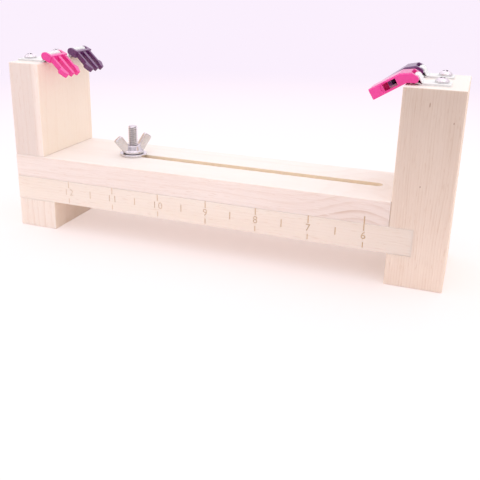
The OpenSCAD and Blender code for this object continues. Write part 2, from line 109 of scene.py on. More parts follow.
class JigWood(bpy.types.PropertyGroup):
    """Pine and the marks burnt into it"""
    pale: colour("Early wood", "Pale wood between the growth rings", (0.982, 0.868, 0.784))
    late: colour("Late wood", "Darker wood of the growth rings", (0.787, 0.605, 0.484))
    # painted light: the tops are paler because the light falls on them from above
    painted_top_light: colour("Painted top light", "Painted light on wood that faces up", (0.985, 0.905, 0.855))
    # painted light: warm bounce light on the sides that look along X and on the walls of the slot
    painted_bounce: colour("Painted bounce light", "Painted warm bounce light on sides and in the slot", (1.0, 0.835, 0.65))
    burn: colour("Burnt line", "Bottom of a line that was burnt into the wood", (0.67, 0.48, 0.26))
    speck: colour("Speck", "Resin specks in the wood", (0.34, 0.21, 0.15))
    digit_height: length("Digit height", "Height of the numbers of the rule", 3.6 * MM)
    digit_drop: length("Digit drop", "From the top of the rail to the middle of the numbers", 5.9 * MM)
    burn_depth: length("Burn depth", "Depth of the burnt lines", 0.3 * MM)
    first_number: IntProperty(name="First number", description="Number at the mark nearest the fixed post",
                              default=6, min=0)


class JigMetal(bpy.types.PropertyGroup):
    """Zinc-plated fittings"""
    zinc: colour("Zinc", "Bright zinc plating", (0.71, 0.69, 0.685))
    bolt_d: length("Bolt diameter", "Outer diameter of the thread", 4.8 * MM)
    head_h: length("Head height", "Height of the bolt's domed head", 2.6 * MM)
    neck_h: length("Neck height", "Height of the bolt's square neck", 3 * MM)
    pitch: length("Thread pitch", "Rise of one turn of the thread", 25.4 / 24 * MM)
    thread_depth: length("Thread depth", "Depth of the thread", 0.55 * MM)
    plain_len: length("Plain length", "Shank between the neck and the thread", 4 * MM)
    recess_r: length("Recess radius", "Reach of the cross recess from the middle of a screw head", 1.6 * MM)
    recess_depth: length("Recess depth", "Depth of the cross recess in a screw head", 1.35 * MM)


class JigPlastic(bpy.types.PropertyGroup):
    """Moulded buckle halves"""
    pink: colour("Pink", "Colour of the front buckle halves", (0.88, 0.042, 0.33))
    violet: colour("Violet", "Colour of the back buckle halves", (0.125, 0.026, 0.130))
    grain: length("Mesh size", "Size of the faces of the moulded pieces", 0.13 * MM)


class JigTape(bpy.types.PropertyGroup):
    """Woven tape tabs"""
    thread: colour("Thread", "Colour of the tape's threads", (0.985, 0.98, 0.975))
    between: colour("Between threads", "Colour in the gaps of the weave", (0.90, 0.885, 0.88))
    layer: length("Layer", "Thickness of one layer of tape", 0.5 * MM)
    air: length("Air", "Gap between two layers of tape", 0.06 * MM)
    rib: length("Rib", "Distance between two ribs of the weave", 0.8 * MM)
    rib_h: length("Rib height", "Height of the ribs of the weave", 0.035 * MM)


class JigStage(bpy.types.PropertyGroup):
    """Floor, light and camera"""
    floor: colour("Floor", "Colour of the floor near the jig", (0.94, 0.925, 0.975))
    bounce: colour("Bounce", "Colour of the light that the floor throws onto the jig", (0.98, 0.86, 0.86))
    glow: colour("Glow", "Colour that the floor keeps in the shade", (1.0, 0.80, 0.695))
    far: colour("Far floor", "Colour of the floor and the air far from the jig", (0.965, 0.871, 0.985))
    sky: FloatProperty(name="Sky", description="Strength of the light from all round", default=0.97, min=0)
    sun: FloatProperty(name="Sun", description="Strength of the soft light from above", default=0.2, min=0)
    lens: FloatProperty(name="Lens", description="Focal length in millimetres on a 36 mm sensor", default=50.12,
                        min=1)


# Nodes

def add(tree, kind, inputs=None, **settings):
    """A new node with its settings, and its inputs linked or set."""
    made = tree.nodes.new(kind)
    for name, value in settings.items():
        setattr(made, name, value)
    for name, value in (inputs or {}).items():
        if isinstance(value, bpy.types.NodeSocket):
            tree.links.new(value, made.inputs[name])
        else:
            made.inputs[name].default_value = value
    return made


def sum_of(tree, operation, a, b=0.0, clamp=False):
    """The result of one sum on numbers."""
    return add(tree, "ShaderNodeMath", {0: a, 1: b}, operation=operation, use_clamp=clamp).outputs[0]


def spread(tree, value, low, high, new_low, new_high, smooth=False):
    """A number moved from one range to another, and held inside it."""
    made = add(tree, "ShaderNodeMapRange",
               {"Value": value, "From Min": low, "From Max": high, "To Min": new_low, "To Max": new_high},
               interpolation_type="SMOOTHSTEP" if smooth else "LINEAR")
    return made.outputs["Result"]


def ramp(tree, value, stops):
    """A number read off a curve of (place, height) stops."""
    made = add(tree, "ShaderNodeValToRGB", {"Fac": value})
    points = made.color_ramp.elements
    while len(points) < len(stops):
        points.new(0.5)
    for point, (place, height) in zip(points, stops):
        point.position = place
        point.color = (height, height, height, 1)
    return made.outputs["Color"]


def blend_of(tree, factor, a, b):
    """A colour between two colours."""
    made = add(tree, "ShaderNodeMix", data_type="RGBA")
    for index, value in ((0, factor), (6, a), (7, b)):
        if isinstance(value, bpy.types.NodeSocket):
            tree.links.new(value, made.inputs[index])
        elif index == 0:
            made.inputs[index].default_value = value
        else:
            made.inputs[index].default_value = (*value[:3], 1)
    return made.outputs[2]


def cloud(tree, place, scale, detail=2.0):
    """Soft noise from 0 to 1 at a place."""
    return add(tree, "ShaderNodeTexNoise", {"Vector": place, "Scale": scale, "Detail": detail}).outputs["Fac"]


def point_of(tree, a, b, c):
    """A place from its three coordinates."""
    return add(tree, "ShaderNodeCombineXYZ", {0: a, 1: b, 2: c}).outputs[0]


def place_in_mm(tree):
    """The place on the piece at rest, and its three coordinates, in millimetres."""
    place = add(tree, "ShaderNodeTexCoord").outputs["Object"]
    scaled = add(tree, "ShaderNodeVectorMath", {0: place, "Scale": 1 / MM}, operation="SCALE").outputs[0]
    return scaled, list(add(tree, "ShaderNodeSeparateXYZ", {0: scaled}).outputs)


def bump(tree, height, strength, depth):
    """Small relief of the surface, of a depth in metres."""
    return add(tree, "ShaderNodeBump", {"Height": height, "Strength": strength, "Distance": depth}).outputs["Normal"]


def new_material(name):
    """A new material, its nodes and its shader."""
    made = bpy.data.materials.new(name)
    made.use_nodes = True
    return made, made.node_tree, made.node_tree.nodes["Principled BSDF"]


def link(tree, shader, **sockets):
    """Links results to the shader's inputs, where an underscore stands for a space."""
    for name, value in sockets.items():
        tree.links.new(value, shader.inputs[name.replace("_", " ")])


# Materials

def rings(tree, board, across, along, streaks):
    """Growth rings, from 0 in pale wood to 1 in a strong ring."""
    from_pith = point_of(tree, *(sum_of(tree, "SUBTRACT", s, middle) for s, middle in zip(across, board.pith)), 0.0)
    radius = add(tree, "ShaderNodeVectorMath", {0: from_pith}, operation="LENGTH").outputs["Value"]
    for drift in (spread(tree, streaks(0.05, 0.012, 1.0), 0, 1, -2.5, 2.5),
                  spread(tree, streaks(0.45 / board.ring, 0.02, 2.0), 0, 1, -board.uneven, board.uneven)):
        radius = sum_of(tree, "ADD", radius, drift)
    if board.swell:
        place, reach, rise = board.swell
        away = sum_of(tree, "DIVIDE", sum_of(tree, "SUBTRACT", along, place), reach)
        hump = sum_of(tree, "EXPONENT", sum_of(tree, "MULTIPLY", sum_of(tree, "MULTIPLY", away, away), -1.0))
        radius = sum_of(tree, "SUBTRACT", radius, sum_of(tree, "MULTIPLY", hump, rise))
    year = sum_of(tree, "DIVIDE", radius, board.ring)
    band = ramp(tree, sum_of(tree, "FRACT", year),
                [(0, 0.12), (0.10, 0), (0.55, 0.14), (0.84, 0.9), (0.92, 1), (1, 0.12)])
    each = add(tree, "ShaderNodeTexWhiteNoise", {"W": sum_of(tree, "FLOOR", year)}, noise_dimensions="1D")
    strong = spread(tree, each.outputs["Value"], 0, 1, 0.25 * board.contrast, board.contrast)
    strong = sum_of(tree, "MULTIPLY", strong, spread(tree, streaks(0.5, 0.07, 2.0), 0.35, 0.65, 0.45, 1.25))
    if board.swell:
        strong = sum_of(tree, "MULTIPLY", strong, spread(tree, hump, 0, 0.6, 0.5, 1.1))
    return sum_of(tree, "MULTIPLY", band, strong)


def by_face(tree, board, wood, late, place):
    """Wood that is darker along the front and the back, and paler or warmer by the way that its face looks."""
    look = bpy.context.scene.jig_wood
    x, y, z = place
    ways = add(tree, "ShaderNodeTexCoord").outputs["Normal"]
    facing = dict(zip("XYZ", add(tree, "ShaderNodeSeparateXYZ", {0: ways}).outputs))
    to_y, to_x = (spread(tree, sum_of(tree, "ABSOLUTE", facing[way]), *FACES, 0, 1) for way in "YX")
    in_slot = spread(tree, sum_of(tree, "ABSOLUTE", y), *SLOT_WALL, 1, 0)
    # painted shade on the front and back faces, darker where the light falls off along the piece
    axis, shade_from, shade_to, share = board.fade
    dark = spread(tree, {"X": x, "Z": z}[axis], shade_from, shade_to, 0, share)
    outside = sum_of(tree, "MULTIPLY", to_y, sum_of(tree, "SUBTRACT", 1.0, in_slot))
    wood = blend_of(tree, sum_of(tree, "MULTIPLY", dark, outside), wood, [0.2 * c for c in late])
    end_grain = spread(tree, sum_of(tree, "ABSOLUTE", facing[board.grain]), *FACES, 0, END_SHARE)
    wood = blend_of(tree, end_grain, wood, look.pale)
    # painted warm bounce light on the sides that look along X
    wood = blend_of(tree, sum_of(tree, "MULTIPLY", to_x, SIDE_SHARE), wood, [SIDE_TONE * c for c in look.painted_bounce])
    # painted warm bounce light on the walls of the slot, as where light comes in from above
    slot_wall = sum_of(tree, "MULTIPLY", sum_of(tree, "MULTIPLY", to_y, in_slot), SLOT_SHARE)
    wood = blend_of(tree, slot_wall, wood, look.painted_bounce)
    # painted light on the faces that look up
    return blend_of(tree, spread(tree, facing["Z"], *FACES, 0, TOP_LIGHT_SHARE), wood, look.painted_top_light)


def specked(tree, board, wood, place):
    """Wood with the resin specks of the front face."""
    x, y, z = place
    mark = 0.0
    for px, pz, half_w, half_l in board.specks:
        away = point_of(tree, sum_of(tree, "DIVIDE", sum_of(tree, "SUBTRACT", x, px), half_w),
                        sum_of(tree, "SUBTRACT", y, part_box("base_rail")[0].y / MM),
                        sum_of(tree, "DIVIDE", sum_of(tree, "SUBTRACT", z, pz), half_l))
        far = add(tree, "ShaderNodeVectorMath", {0: away}, operation="LENGTH").outputs["Value"]
        mark = sum_of(tree, "MAXIMUM", mark, spread(tree, far, 0.5, 1, 0.75, 0, smooth=True))
    return blend_of(tree, mark, wood, bpy.context.scene.jig_wood.speck)


def pine(board):
    """Planed pine for one board."""
    look = bpy.context.scene.jig_wood
    made, tree, shader = new_material("pine of " + board.node.replace("_", " "))
    pale = [min(1.0, c * t) for c, t in zip(look.pale, board.tone)]
    late = [c * t for c, t in zip(look.late, board.tone)]
    _, place = place_in_mm(tree)
    x, y, z = place
    a, b, along = (y, z, x) if board.grain == "X" else (x, y, z)

    def streaks(across, lengthwise, detail):
        stretched = point_of(tree, sum_of(tree, "MULTIPLY", a, across), sum_of(tree, "MULTIPLY", b, across),
                             sum_of(tree, "MULTIPLY", along, lengthwise))
        return cloud(tree, stretched, 1.0, detail)

    band = rings(tree, board, (a, b), along, streaks)
    fibre = streaks(3.2, 0.09, 3.0)
    dashes = streaks(1.9, 0.22, 1.0)
    wood = blend_of(tree, band, pale, late)
    wood = blend_of(tree, spread(tree, fibre, 0.52, 0.80, 0, 0.5 * board.contrast), wood, late)
    wood = blend_of(tree, spread(tree, streaks(0.09, 0.012, 2.0), 0.40, 0.75, 0, 0.16), wood, late)
    wood = blend_of(tree, spread(tree, dashes, 0.63, 0.74, 0, board.dashes), wood, late)
    wood = blend_of(tree, spread(tree, dashes, 0.34, 0.26, 0, 0.6), wood, [min(1.0, 1.05 * c) for c in pale])
    wood = by_face(tree, board, wood, late, place)
    if board.specks:
        wood = specked(tree, board, wood, place)
    link(tree, shader,
         Base_Color=wood,
         Roughness=spread(tree, fibre, 0.25, 0.75, 0.52, 0.70),
         Normal=bump(tree, sum_of(tree, "ADD", sum_of(tree, "MULTIPLY", band, 0.35), fibre), 0.4, 0.05 * MM))
    shader.inputs["Specular IOR Level"].default_value = 0.25
    shader.inputs["Subsurface Weight"].default_value = 0.3
    shader.inputs["Subsurface Scale"].default_value = 1.0 * MM
    shader.inputs["Subsurface Radius"].default_value = (1.8, 1.6, 1.4)
    return made


def burnt():
    """Wood at the bottom of a burnt line, uneven along the line and fainter away from the fixed post."""
    look = bpy.context.scene.jig_wood
    made, tree, shader = new_material("burnt line")
    place, (x, _, _) = place_in_mm(tree)
    scorch = spread(tree, cloud(tree, place, 1.6, 3.0), 0.3, 0.7, 0, 0.25)
    faint = spread(tree, x, 75, -70, 0.08, 0.6)
    link(tree, shader,
         Base_Color=blend_of(tree, sum_of(tree, "ADD", scorch, faint), look.burn, look.pale),
         Normal=bump(tree, cloud(tree, place, 6.0), 0.4, 0.05 * MM))
    shader.inputs["Roughness"].default_value = 0.85
    shader.inputs["Specular IOR Level"].default_value = 0.15
    return made


def zinc():
    """Bright zinc plating, with fine scratches and patches of duller shine."""
    look = bpy.context.scene.jig_metal
    made, tree, shader = new_material("bright zinc")
    place, (x, y, z) = place_in_mm(tree)
    dull = cloud(tree, place, 0.5, 3.0)
    scratches = cloud(tree, point_of(tree, sum_of(tree, "MULTIPLY", x, 0.6), sum_of(tree, "MULTIPLY", y, 0.6),
                                     sum_of(tree, "MULTIPLY", z, 9.0)), 1.0, 3.0)
    link(tree, shader,
         Base_Color=blend_of(tree, spread(tree, dull, 0.35, 0.7, 0, 0.3), look.zinc, [0.75 * c for c in look.zinc]),
         Roughness=spread(tree, sum_of(tree, "MULTIPLY", dull, scratches), 0.1, 0.45, 0.16, 0.34),
         Normal=bump(tree, sum_of(tree, "ADD", scratches, cloud(tree, place, 2.5)), 0.12, 0.03 * MM))
    shader.inputs["Metallic"].default_value = 1.0
    return made


def painted_recess_shade():
    """Dull plating with some dirt, in the recess of a screw head."""
    look = bpy.context.scene.jig_metal
    made, tree, shader = new_material("painted recess shade")
    place, _ = place_in_mm(tree)
    recess_mottle = cloud(tree, place, 2.0, 3.0)
    link(tree, shader,
         Base_Color=blend_of(tree, spread(tree, recess_mottle, 0.3, 0.7, 0, 1), [0.015 * c for c in look.zinc],
                             [0.05 * c for c in look.zinc]),
         Normal=bump(tree, recess_mottle, 0.3, 0.05 * MM))
    shader.inputs["Roughness"].default_value = 0.7
    shader.inputs["Specular IOR Level"].default_value = 0.1
    return made


def painted_groove_shade():
    """Dull plating with a film of oil, in the groove of a thread."""
    look = bpy.context.scene.jig_metal
    made, tree, shader = new_material("painted groove shade")
    place, _ = place_in_mm(tree)
    groove_mottle = cloud(tree, place, 1.2, 3.0)
    link(tree, shader,
         Base_Color=blend_of(tree, spread(tree, groove_mottle, 0.3, 0.7, 0, 1), [0.46 * c for c in look.zinc],
                             [0.66 * c for c in look.zinc]),
         Roughness=spread(tree, groove_mottle, 0.3, 0.7, 0.3, 0.5),
         Normal=bump(tree, groove_mottle, 0.2, 0.03 * MM))
    shader.inputs["Metallic"].default_value = 1.0
    return made


def gloss(name, tint):
    """Glossy moulded plastic with faint flow marks and a fine grain."""
    made, tree, shader = new_material(name)
    place, _ = place_in_mm(tree)
    flow = cloud(tree, place, 0.35, 3.0)
    fine = cloud(tree, place, 5.0, 2.0)
    link(tree, shader,
         Base_Color=blend_of(tree, spread(tree, flow, 0.35, 0.75, 0, 0.28), tint, [0.72 * c for c in tint]),
         Roughness=spread(tree, fine, 0.25, 0.75, 0.22, 0.34),
         Normal=bump(tree, sum_of(tree, "ADD", fine, flow), 0.15, 0.03 * MM))
    shader.inputs["Specular IOR Level"].default_value = 0.5
    shader.inputs["Coat Weight"].default_value = 0.4
    shader.inputs["Coat Roughness"].default_value = 0.12
    shader.inputs["Subsurface Weight"].default_value = 0.08
    shader.inputs["Subsurface Scale"].default_value = 0.6 * MM
    shader.inputs["Subsurface Radius"].default_value = (1.0, 0.8, 0.85)
    return made


def woven():
    """White woven tape. The attribute tape_place gives the place across and along the tape, in metres."""
    look = bpy.context.scene.jig_tape
    made, tree, shader = new_material("woven tape")
    strip = add(tree, "ShaderNodeAttribute", attribute_name="tape_place").outputs["Vector"]
    u, v, _ = add(tree, "ShaderNodeSeparateXYZ", {0: strip}).outputs
    waves = [sum_of(tree, "COSINE", sum_of(tree, "MULTIPLY", s, 2 * math.pi / look.rib)) for s in (u, v)]
    weave = spread(tree, sum_of(tree, "MULTIPLY", *waves), -1, 1, 0, 1)
    scaled = add(tree, "ShaderNodeVectorMath", {0: strip, "Scale": 1 / MM}, operation="SCALE").outputs[0]
    fuzz = cloud(tree, scaled, 7.0, 3.0)
    link(tree, shader,
         Base_Color=blend_of(tree, sum_of(tree, "MULTIPLY", weave, spread(tree, fuzz, 0.3, 0.6, 0.7, 1)),
                             look.between, look.thread),
         Normal=bump(tree, sum_of(tree, "ADD", sum_of(tree, "MULTIPLY", fuzz, 0.6), weave), 0.5, 0.06 * MM))
    shader.inputs["Roughness"].default_value = 0.9
    shader.inputs["Sheen Weight"].default_value = 0.25
    shader.inputs["Subsurface Weight"].default_value = 0.6
    shader.inputs["Subsurface Scale"].default_value = 0.4 * MM
    shader.inputs["Subsurface Radius"].default_value = (1.0, 1.0, 1.0)
    shader.inputs["Specular IOR Level"].default_value = 0.2
    return made


def seen_directly(tree):
    """1 for what the camera, a mirror or glass sees, and 0 for light on the jig."""
    path = add(tree, "ShaderNodeLightPath").outputs
    seen = sum_of(tree, "MAXIMUM", path["Is Camera Ray"], path["Is Glossy Ray"])
    return sum_of(tree, "MAXIMUM", seen, path["Is Transmission Ray"])


# Meshes

def show(name, mesh, material, smooth_angle=None):
    """A new object in the scene, smooth where its faces meet at less than an angle."""
    made = bpy.data.objects.new(name, mesh)
    bpy.context.scene.collection.objects.link(made)
    mesh.materials.clear()
    mesh.materials.append(material)
    mesh.polygons.foreach_set("use_smooth", [True] * len(mesh.polygons))
    if smooth_angle is not None:
        mesh.set_sharp_from_angle(angle=smooth_angle)
    return made


def stand_for(made, node, body):
    """Puts a piece in the place of a CAD node, on the node's body and in its material slot."""
    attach(made, body)
    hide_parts(node)
    return made


def baked(made):
    """Turns a piece's modifiers into its mesh."""
    graph = bpy.context.evaluated_depsgraph_get()
    mesh = bpy.data.meshes.new_from_object(made.evaluated_get(graph))
    made.modifiers.clear()
    old, made.data = made.data, mesh
    bpy.data.meshes.remove(old)
    mesh.polygons.foreach_set("use_smooth", [True] * len(mesh.polygons))
    return made


def moulded(node, name, material, grain, rounding, keep):
    """A piece with the form of a CAD node and with its edges rounded, as out of a mould. Grain is the size of its
    faces, rounding the number of times they are smoothed and keep the share of the faces that stays."""
    mesh = frame["nodes"][node].data.copy()
    made = show(name, mesh, material)
    weld = made.modifiers.new("weld", "WELD")
    weld.merge_threshold = WELD
    remesh = made.modifiers.new("remesh", "REMESH")
    remesh.mode = "VOXEL"
    remesh.voxel_size = grain
    soften = made.modifiers.new("soften", "SMOOTH")
    soften.factor = 0.5
    soften.iterations = rounding
    thin = made.modifiers.new("thin", "DECIMATE")
    thin.ratio = keep
    baked(made)
    made.data.materials.clear()
    made.data.materials.append(material)
    return made


def grid_mesh(name, rows, closed_ends):
    """A mesh through rows of points, each row a closed ring, with its two ends filled if asked."""
    count = len(rows[0])
    points = [p for row in rows for p in row]
    faces = [(i * count + j, i * count + (j + 1) % count, (i + 1) * count + (j + 1) % count, (i + 1) * count + j)
             for i in range(len(rows) - 1) for j in range(count)]
    if closed_ends:
        faces += [tuple(range(count - 1, -1, -1)), tuple(range(len(points) - count, len(points)))]
    mesh = bpy.data.meshes.new(name)
    mesh.from_pydata(points, [], faces)
    mesh.update()
    return mesh


def turned(name, axis, profile, closed_ends=True):
    """A mesh turned about an upright axis. The profile is (height, radius at an angle) from the bottom up."""
    angles = [2 * math.pi * j / ROUND_STEPS for j in range(ROUND_STEPS)]
    rows = [[(axis.x + radius(a) * math.cos(a), axis.y + radius(a) * math.sin(a), height) for a in angles]
            for height, radius in profile]
    return grid_mesh(name, rows, closed_ends)


def in_groove(mesh, front, depth):
    """The faces of the lines cut into a front face, and of those the ones at the bottom of a line."""
    near = 0.02 * MM
    heights = np.array([v.co.y for v in mesh.vertices])
    inside, bottoms = [], []
    for face in mesh.polygons:
        if heights[list(face.vertices)].max() > front + depth + near:
            continue
        at_bottom = face.normal.y < -0.9 and face.center.y > front + depth / 2
        if at_bottom or abs(face.normal.y) < 0.05:
            inside.append(face)
        if at_bottom:
            bottoms.append(face)
    return inside, bottoms


def welded(mesh):
    """A mesh whose points at one place are joined."""
    holder = bpy.data.objects.new("holder", mesh)
    bpy.context.scene.collection.objects.link(holder)
    weld = holder.modifiers.new("weld", "WELD")
    weld.merge_threshold = WELD
    graph = bpy.context.evaluated_depsgraph_get()
    joined = bpy.data.meshes.new_from_object(holder.evaluated_get(graph))
    joined.name = mesh.name
    bpy.data.objects.remove(holder)
    bpy.data.meshes.remove(mesh)
    return joined


def even_steps(corners, step):
    """Points at even steps along a line of corners."""
    lengths = np.concatenate([[0], np.cumsum(np.linalg.norm(np.diff(corners, axis=0), axis=1))])
    places = np.linspace(0, lengths[-1], round(lengths[-1] / step) + 1)
    return np.stack([np.interp(places, lengths, corners[:, i]) for i in range(2)], 1)


# Operators

class JIG_OT_wood(bpy.types.Operator):
    """Give the five wooden pieces their grain"""
    bl_idname = "jig.wood"
    bl_label = "Wood"

    def execute(self, context):
        for board in BOARDS:
            mesh = frame["nodes"][board.node].data
            mesh.materials.clear()
            mesh.materials.append(pine(board))
        return {"FINISHED"}


class JIG_OT_rule(bpy.types.Operator):
    """Burn the rule's lines and numbers into the rail and the pointer into the board"""
    bl_idname = "jig.rule"
    bl_label = "Rule"

    def execute(self, context):
        look = context.scene.jig_wood
        dark = burnt()
        low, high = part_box("base_rail")
        for node in ("base_rail", "slide_board"):
            mesh = frame["nodes"][node].data
            mesh.materials.append(dark)
            inside, bottoms = in_groove(mesh, low.y, look.burn_depth)
            if not bottoms:
                raise RuntimeError(f"no burnt lines were found on {node}")
            for face in inside:
                face.material_index = 1
            if node == "base_rail":
                middles = self.numbered_lines(mesh, bottoms, high.z)
        self.engrave(middles, low.y, high.z - look.digit_drop, look, dark)
        return {"FINISHED"}

    def numbered_lines(self, mesh, bottoms, top):
        """The middles of the lines that run up to the top of the rail, from the fixed post on."""
        apart = 5 * MM
        lines = []
        for x in sorted((mesh.vertices[v].co.x for f in bottoms for v in f.vertices
                         if mesh.vertices[v].co.z > top - 1.5 * MM), reverse=True):
            if lines and lines[-1][0] - x < apart:
                lines[-1].append(x)
            else:
                lines.append([x])
        return [(xs[0] + xs[-1]) / 2 for xs in lines]

    def engrave(self, middles, front, height, look, dark):
        """Cuts the numbers into the rail with a cutter that isn't shown."""
        points, faces = [], []
        for i, x in enumerate(middles):
            text = bpy.data.curves.new("number", "FONT")
            text.body = str(look.first_number + i)
            text.align_x, text.align_y = "CENTER", "CENTER"
            text.size = look.digit_height / 0.73
            text.space_character = 1.25
            text.resolution_u = 4
            text.extrude = look.burn_depth
            made = bpy.data.objects.new("number", text)
            made.matrix_world = Matrix.Translation((x, front, height)) @ Matrix.Rotation(math.pi / 2, 4, "X")
            bpy.context.scene.collection.objects.link(made)
            bpy.context.view_layer.update()
            mesh = made.evaluated_get(bpy.context.evaluated_depsgraph_get()).to_mesh()
            start = len(points)
            points += [made.matrix_world @ v.co for v in mesh.vertices]
            faces += [tuple(start + v for v in f.vertices) for f in mesh.polygons]
            bpy.data.objects.remove(made)
        mesh = bpy.data.meshes.new("number_cutter")
        mesh.from_pydata(points, [], faces)
        cutter = show("number_cutter", mesh, dark)
        rail = frame["nodes"]["base_rail"]
        for piece in (cutter, rail):
            weld = piece.modifiers.new("weld", "WELD")
            weld.merge_threshold = WELD
        cutter.hide_render = True
        cutter.hide_viewport = True
        cut = rail.modifiers.new("numbers", "BOOLEAN")
        cut.object = cutter
        cut.operation = "DIFFERENCE"
        cut.solver = "EXACT"
        cut.material_mode = "TRANSFER"


class JIG_OT_clamp(bpy.types.Operator):
    """Make the threaded bolt, the washer and the wing nut"""
    bl_idname = "jig.clamp"
    bl_label = "Clamp"

    def execute(self, context):
        metal = bpy.data.materials.get("bright zinc") or zinc()
        look = context.scene.jig_metal
        low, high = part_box("clamp_washer")
        axis = (low + high) / 2
        bolt = show("clamp_bolt_threaded", self.bolt(axis, look), metal, math.radians(40))
        # painted shade for the thread's groove and for the gap under the nut's flange
        groove = painted_groove_shade()
        bolt.data.materials.append(groove)
        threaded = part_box("clamp_bolt")[0].z + look.head_h + look.neck_h + look.plain_len
        for face in bolt.data.polygons:
            deep = look.bolt_d / 2 - (face.center.xy - axis.xy).length
            if face.center.z > threaded and GROOVE[0] < deep / look.thread_depth < GROOVE[1]:
                face.material_index = 1
        stand_for(bolt, "clamp_bolt", "frame")
        stand_for(show("clamp_washer_rounded", self.washer(axis, low, high, look), metal, math.radians(40)),
                  "clamp_washer", "frame")
        nut = moulded("wing_nut", "wing_nut_forged", metal, grain=0.16 * MM, rounding=14, keep=1.0)
        nut.data.materials.append(groove)
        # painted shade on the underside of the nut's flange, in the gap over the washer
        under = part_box("wing_nut")[0].z + 0.8 * MM
        for face in nut.data.polygons:
            if face.normal.z < -0.2 and face.center.z < under:
                face.material_index = 1
        stand_for(nut, "wing_nut", "nut")
        return {"FINISHED"}

    def bolt(self, axis, look):
        """Carriage bolt: domed head, square neck, plain shank and a thread with a bevelled end."""
        low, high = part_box("clamp_bolt")
        head_r, bolt_r = (high.x - low.x) / 2, look.bolt_d / 2
        seat = low.z + look.head_h
        ball = (head_r ** 2 + look.head_h ** 2) / (2 * look.head_h)
        rows = []
        for step in range(1, 13):
            height = look.head_h * (step / 12) ** 2
            rows.append((low.z + height, math.sqrt(ball ** 2 - (ball - height) ** 2)))
        rows = [(h, lambda a, r=r: r) for h, r in rows]

        def square(a):
            return bolt_r / max(abs(math.cos(a)), abs(math.sin(a)))

        rows += [(seat, square), (seat + look.neck_h, square), (seat + look.neck_h, lambda a: bolt_r * 0.9)]
        start = seat + look.neck_h + look.plain_len
        rows.append((start - look.pitch, lambda a: bolt_r * 0.9))
        count = round((high.z - start) / look.pitch * 8)

        def thread(height):
            def radius(a):
                turn = (height / look.pitch - a / (2 * math.pi)) % 1
                depth = min(1.0, max(0.0, (abs(2 * turn - 1) - 0.3) / 0.45))
                start_in = min(1.0, (height - start) / look.pitch)
                bevel = min(1.0, (high.z - height) / (look.thread_depth + 0.1 * MM))
                return bolt_r - look.thread_depth * max(depth, 1 - bevel, 0.5 * (1 - start_in))
            return radius

        rows += [(start + (high.z - start) * i / count, thread(start + (high.z - start) * i / count))
                 for i in range(count + 1)]
        return turned("clamp_bolt_threaded", axis, rows)

    def washer(self, axis, low, high, look):
        """Stamped washer with its upper edges rounded."""
        outer, inner = (high.x - low.x) / 2, look.bolt_d / 2 + 0.12 * MM
        edge = 0.3 * MM
        arc = [math.radians(d) for d in range(0, 91, 15)]
        ring = [(low.z, inner), (low.z, outer - 0.1 * MM), (low.z + 0.1 * MM, outer)]
        ring += [(high.z - edge + edge * math.sin(a), outer - edge + edge * math.cos(a)) for a in arc]
        ring += [(high.z - edge + edge * math.sin(a), inner + edge - edge * math.cos(a)) for a in reversed(arc)]
        ring.append(ring[0])
        mesh = turned("clamp_washer_rounded", axis, [(h, lambda a, r=r: r) for h, r in ring], closed_ends=False)
        return welded(mesh)


class JIG_OT_screws(bpy.types.Operator):
    """Plate the five pairs of screws"""
    bl_idname = "jig.screws"
    bl_label = "Screws"

    def execute(self, context):
        metal = bpy.data.materials.get("bright zinc") or zinc()
        look = context.scene.jig_metal
        # painted shade for the cross recesses of the screw heads
        dull = painted_recess_shade()
        for node in ("foot_screws", "post_screws", "upright_screws", "fixed_top_screws", "moving_top_screws"):
            on_top = node.endswith("top_screws")
            low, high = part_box(node)
            outer = high.z if on_top else low.z
            head_r = (high.x - low.x) / 2
            axes = [Vector((low.x + head_r, y)) for y in (low.y + head_r, high.y - head_r)]
            if on_top:
                made = show(node + "_turned", self.turned_in(frame["nodes"][node].data.copy(), axes), metal)
                made.data.set_sharp_from_angle(angle=math.radians(35))
                stand_for(made, node, "frame" if node.startswith("fixed") else "slide")
                mesh = made.data
            else:
                mesh = frame["nodes"][node].data
                mesh.materials.clear()
                mesh.materials.append(metal)
            # the faces inside each cross recess get the painted shade
            mesh.materials.append(dull)
            for face in mesh.polygons:
                near = min((face.center.xy - axis).length for axis in axes)
                deep = abs(face.center.z - outer)
                steep = abs(face.normal.z) < 0.5
                if near < look.recess_r and deep < look.recess_depth and (steep or deep > 0.7 * look.recess_depth):
                    face.material_index = 1
        return {"FINISHED"}

    def turned_in(self, mesh, axes):
        """Leaves each screw at the angle at which it came to a stop."""
        for vertex in mesh.vertices:
            axis = min(axes, key=lambda a: (vertex.co.xy - a).length)
            turn = Matrix.Rotation(math.radians(52 if axis.y < 0 else 30), 2)
            vertex.co.xy = axis + turn @ (vertex.co.xy - axis)
        return mesh


class JIG_OT_buckles(bpy.types.Operator):
    """Mould the two sleeve halves and the two prong halves"""
    bl_idname = "jig.buckles"
    bl_label = "Buckle halves"

    def execute(self, context):
        look = context.scene.jig_plastic
        tints = {"front": ("pink", gloss("pink plastic", look.pink)),
                 "back": ("violet", gloss("violet plastic", look.violet))}
        for side, (slot, material) in tints.items():
            for kind in ("sleeve", "prong"):
                node = f"{side}_{kind}_half"
                made = moulded(node, node + "_moulded", material, grain=look.grain, rounding=7, keep=0.3)
                stand_for(made, node, f"{side}_{kind}")
        return {"FINISHED"}


